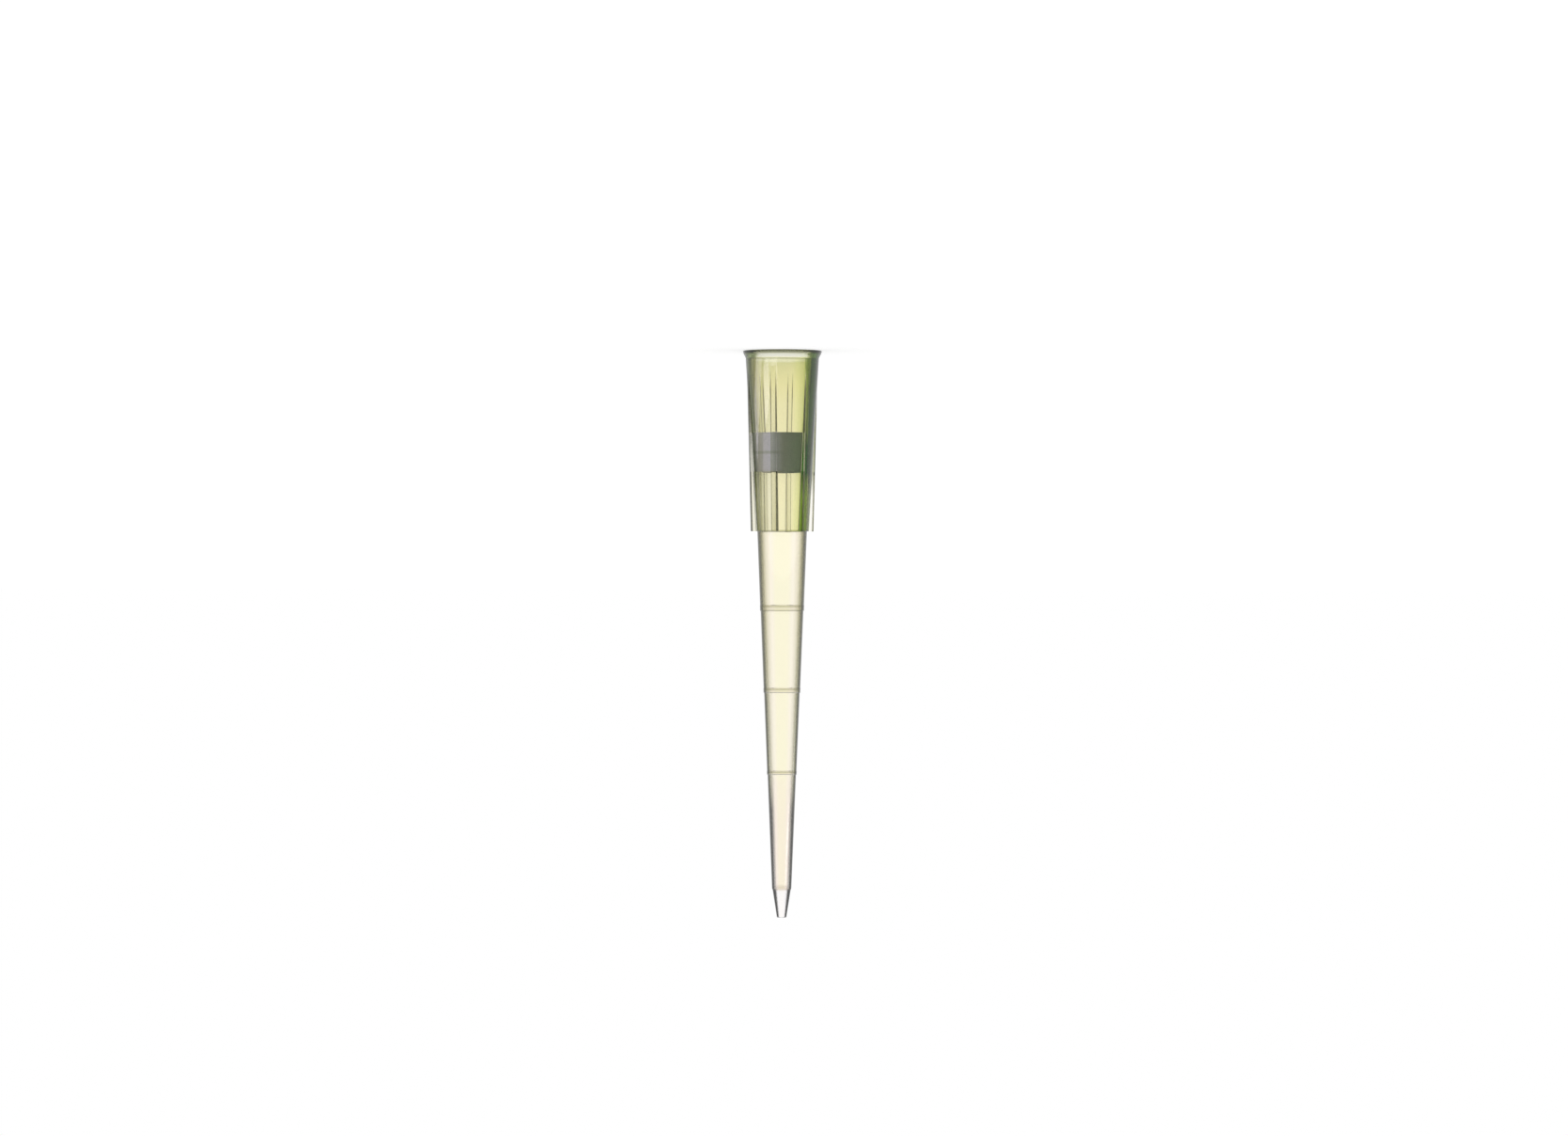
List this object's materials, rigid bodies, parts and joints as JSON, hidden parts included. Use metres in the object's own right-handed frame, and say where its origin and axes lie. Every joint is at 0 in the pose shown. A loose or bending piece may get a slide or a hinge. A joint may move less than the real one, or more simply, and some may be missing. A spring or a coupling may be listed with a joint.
{
  "type": "pipette tip",
  "caption": "Clear conical tip for a hand-held pipette, with a ribbed collar, volume rings and a filter plug in its bore.",
  "frame": {"origin": "centre of the collar's rim, on the plane it stands on", "axes": "+Z along the axis, from the mouth at the rim up to the outlet"},
  "size_m": [0.007, 0.007, 0.0505],
  "materials": {
    "clear_polypropylene": "clear, faint yellow-green tint, glossy as moulded",
    "sintered_polyethylene": "porous, fine grained, matt grey"
  },
  "bodies": {
    "root": {"tip_body": "clear_polypropylene", "filter_plug": "sintered_polyethylene"}
  },
  "joints": []
}
